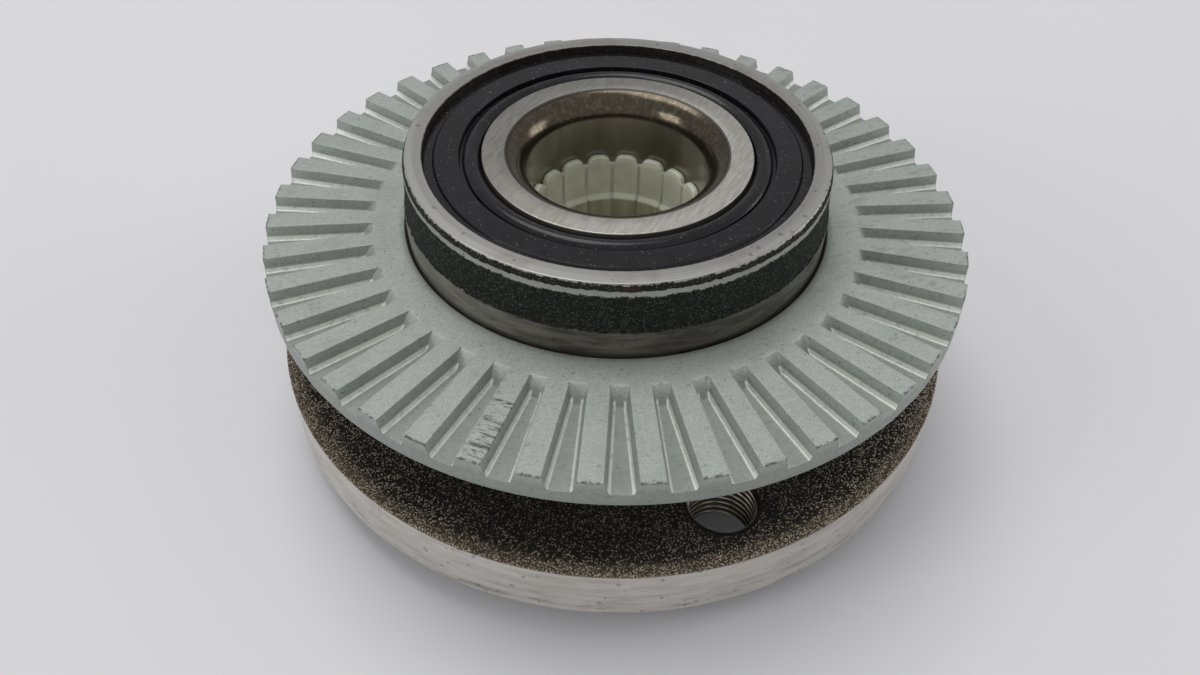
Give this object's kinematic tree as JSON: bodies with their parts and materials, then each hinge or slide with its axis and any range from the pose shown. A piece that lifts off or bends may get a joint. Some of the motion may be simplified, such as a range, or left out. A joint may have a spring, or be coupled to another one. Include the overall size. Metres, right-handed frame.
{
  "type": "wheel hub bearing",
  "caption": "Flanged wheel hub bearing: rotating outer ring with threaded bolt flange and axial tone ring, split inner rings, ball rows in cages, lip seals and a nylon sleeve in the bore.",
  "frame": {"origin": "centre of the outboard flange face that the wheel is bolted against, on the axle line", "axes": "+Z along the axle towards the vehicle, up when the hub stands on its pilot spigot; a wheel bolt hole lies on +X"},
  "size_m": [0.1188, 0.1188, 0.0512],
  "materials": {
    "forged_steel": "forged skin, dark and grainy, with turned seats and a ground end face",
    "coated_steel": "matt grey-green zinc coating",
    "ground_steel": "ground bearing steel",
    "ball_steel": "polished bearing steel",
    "insert_steel": "pressed sheet steel",
    "seal_rubber": "moulded black nitrile rubber",
    "cage_nylon": "glass-filled natural nylon",
    "sleeve_nylon": "natural nylon, translucent"
  },
  "bodies": {
    "spindle_side": {"inner_ring_inboard": "ground_steel", "inner_ring_outboard": "ground_steel"},
    "hub": {"hub_outer_ring": "forged_steel", "tone_ring": "coated_steel", "seal_insert_inboard": "insert_steel", "seal_rubber_inboard": "seal_rubber", "seal_insert_outboard": "insert_steel", "seal_rubber_outboard": "seal_rubber"},
    "row_inboard": {"cage_inboard": "cage_nylon", "ball_inboard_01": "ball_steel", "ball_inboard_02": "ball_steel", "ball_inboard_03": "ball_steel", "ball_inboard_04": "ball_steel", "ball_inboard_05": "ball_steel", "ball_inboard_06": "ball_steel", "ball_inboard_07": "ball_steel", "ball_inboard_08": "ball_steel", "ball_inboard_09": "ball_steel", "ball_inboard_10": "ball_steel", "ball_inboard_11": "ball_steel", "ball_inboard_12": "ball_steel"},
    "row_outboard": {"cage_outboard": "cage_nylon", "ball_outboard_01": "ball_steel", "ball_outboard_02": "ball_steel", "ball_outboard_03": "ball_steel", "ball_outboard_04": "ball_steel", "ball_outboard_05": "ball_steel", "ball_outboard_06": "ball_steel", "ball_outboard_07": "ball_steel", "ball_outboard_08": "ball_steel", "ball_outboard_09": "ball_steel", "ball_outboard_10": "ball_steel", "ball_outboard_11": "ball_steel", "ball_outboard_12": "ball_steel"},
    "sleeve": {"retaining_sleeve": "sleeve_nylon"}
  },
  "joints": [
    {"name": "hub_spin", "type": "hinge", "parent": "spindle_side", "child": "hub", "pos_m": [0, 0, 0.0196], "axis": [0, 0, 1], "continuous": true},
    {"name": "inboard_row_orbit", "type": "hinge", "parent": "spindle_side", "child": "row_inboard", "pos_m": [0, 0, 0.0291], "axis": [0, 0, 1], "continuous": true},
    {"name": "outboard_row_orbit", "type": "hinge", "parent": "spindle_side", "child": "row_outboard", "pos_m": [0, 0, 0.0101], "axis": [0, 0, 1], "continuous": true},
    {"name": "sleeve_pull", "type": "slide", "parent": "spindle_side", "child": "sleeve", "axis": [0, 0, 1], "range_m": [0, 0.04]}
  ],
  "couplings": [
    {"joint": "inboard_row_orbit", "follows": "hub_spin", "ratio": 0.587},
    {"joint": "outboard_row_orbit", "follows": "hub_spin", "ratio": 0.587}
  ]
}
